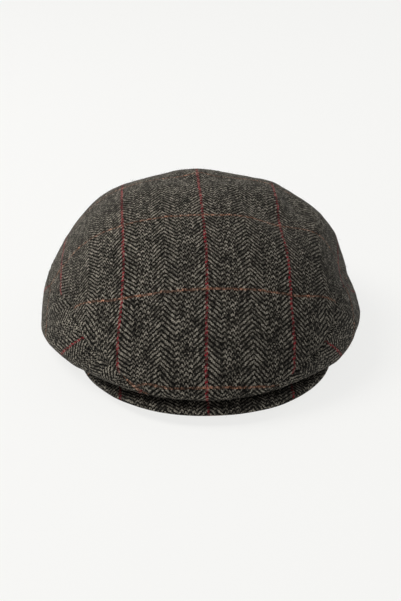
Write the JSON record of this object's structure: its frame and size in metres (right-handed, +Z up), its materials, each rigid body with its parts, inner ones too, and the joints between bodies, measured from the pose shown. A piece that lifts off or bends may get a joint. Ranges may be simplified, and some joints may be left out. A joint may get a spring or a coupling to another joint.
{
  "type": "flat cap",
  "caption": "Flat cap of tweed: a one-piece top panel and two side panels, open below for the head, over a short arched peak",
  "frame": {"origin": "on the plane that the hem rests on, under the middle of the cap's box", "axes": "+Z up, -Y to the front, where the peak points, and +X to the right as seen from the front"},
  "size_m": [0.2369, 0.2745, 0.1087],
  "materials": {
    "tweed": "charcoal wool tweed, herringbone weave with a thin red and rust windowpane check",
    "peak_tweed": "the same tweed stretched over the stiff peak"
  },
  "bodies": {
    "root": {"top_panel": "tweed", "left_side_panel": "tweed", "right_side_panel": "tweed", "peak": "peak_tweed"}
  },
  "joints": []
}
